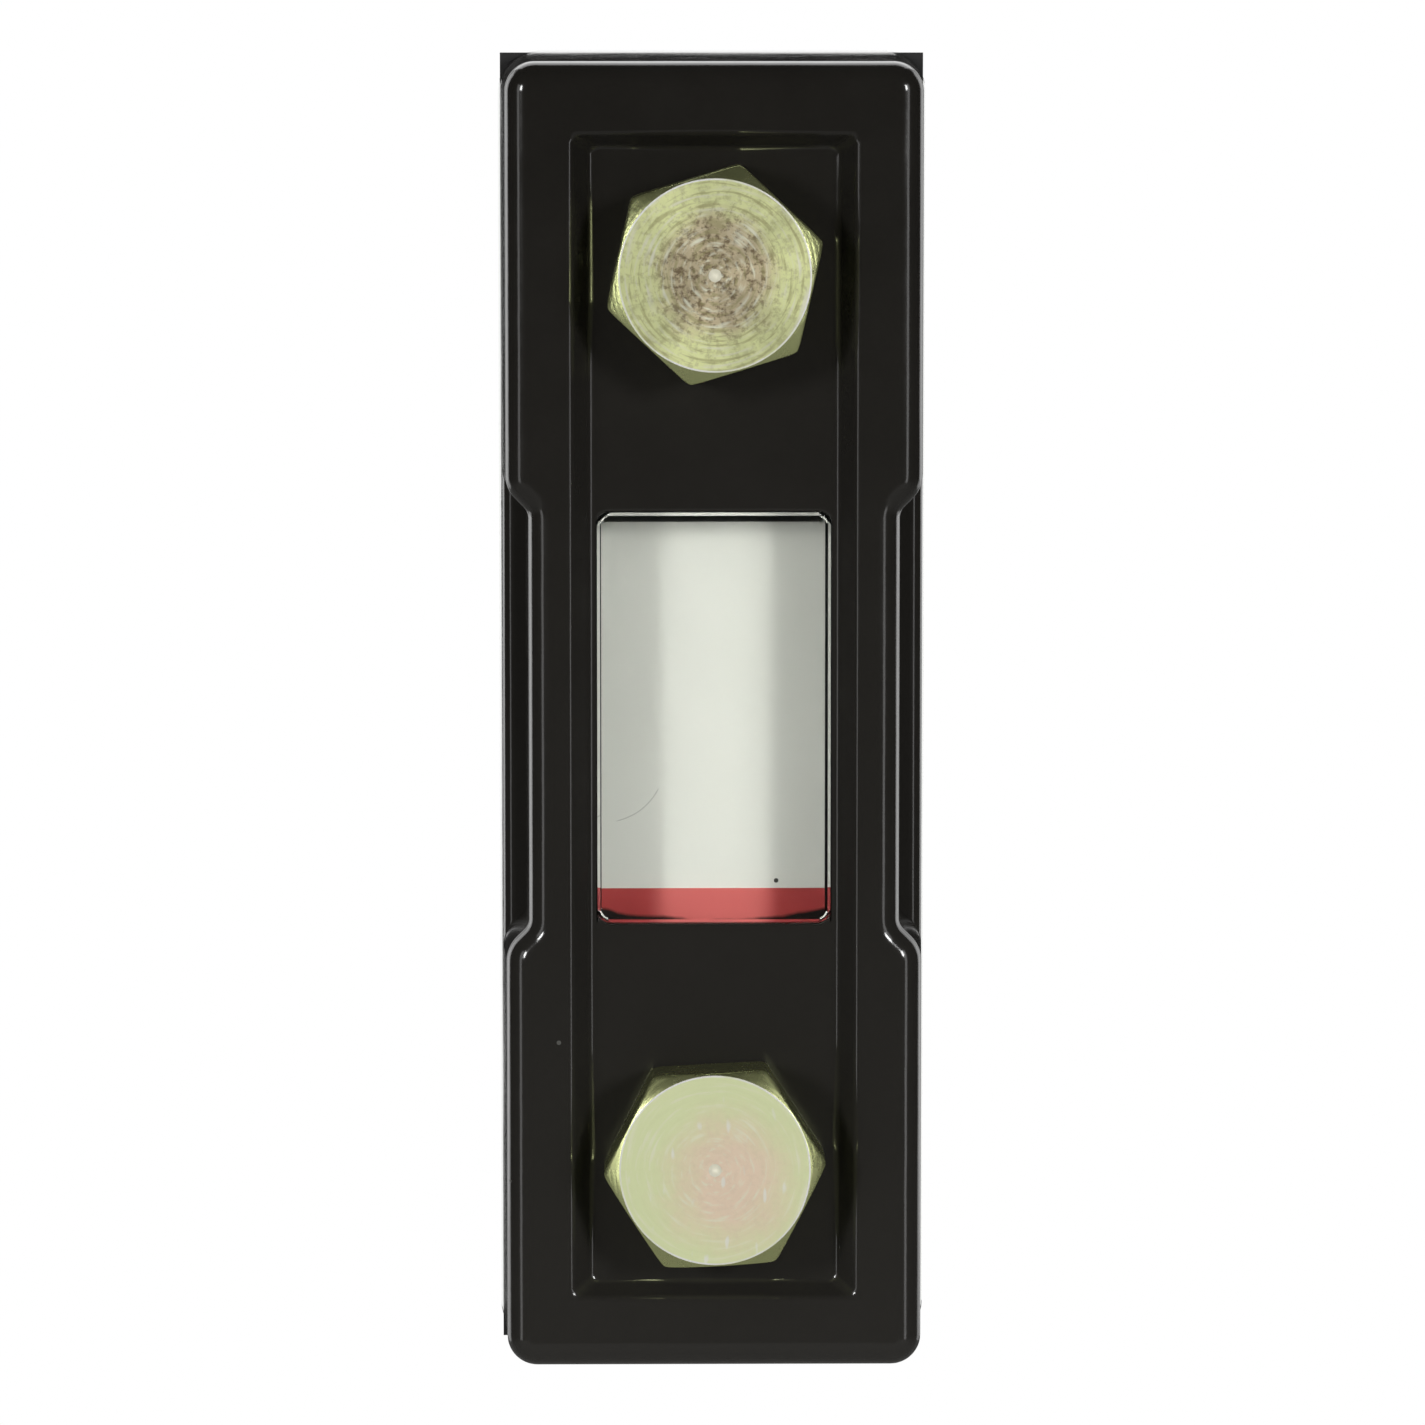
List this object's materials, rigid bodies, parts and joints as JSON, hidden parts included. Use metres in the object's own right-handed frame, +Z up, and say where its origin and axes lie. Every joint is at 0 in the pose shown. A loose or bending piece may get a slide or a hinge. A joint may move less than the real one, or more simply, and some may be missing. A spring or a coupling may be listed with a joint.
{
  "type": "tank level gauge",
  "caption": "Wall-mounted oil level sight gauge: pressed black housing with a sunk field and clear window over a white reflector, held by hollow hexagon bolts.",
  "frame": {"origin": "in the tank face (the back of the gasket), midway between the two bolts", "axes": "+X across the gauge, +Y into the tank, +Z up; the window looks along -Y"},
  "size_m": [0.0372, 0.0409, 0.1134],
  "materials": {
    "clear_acrylic": "clear moulded, polished pane",
    "white_plastic": "moulded, low gloss",
    "red_film": "self-adhesive film, gloss",
    "black_enamel": "stoved gloss enamel on pressed steel",
    "yellow_zinc": "yellow-green iridescent zinc passivate, turned face",
    "black_rubber": "moulded, matte"
  },
  "bodies": {
    "root": {"gasket": "black_rubber", "sight_body": "clear_acrylic", "reflector": "white_plastic", "minimum_level_film": "red_film", "housing": "black_enamel", "upper_bolt": "yellow_zinc", "lower_bolt": "yellow_zinc", "upper_seal_ring": "black_rubber", "lower_seal_ring": "black_rubber"}
  },
  "joints": []
}
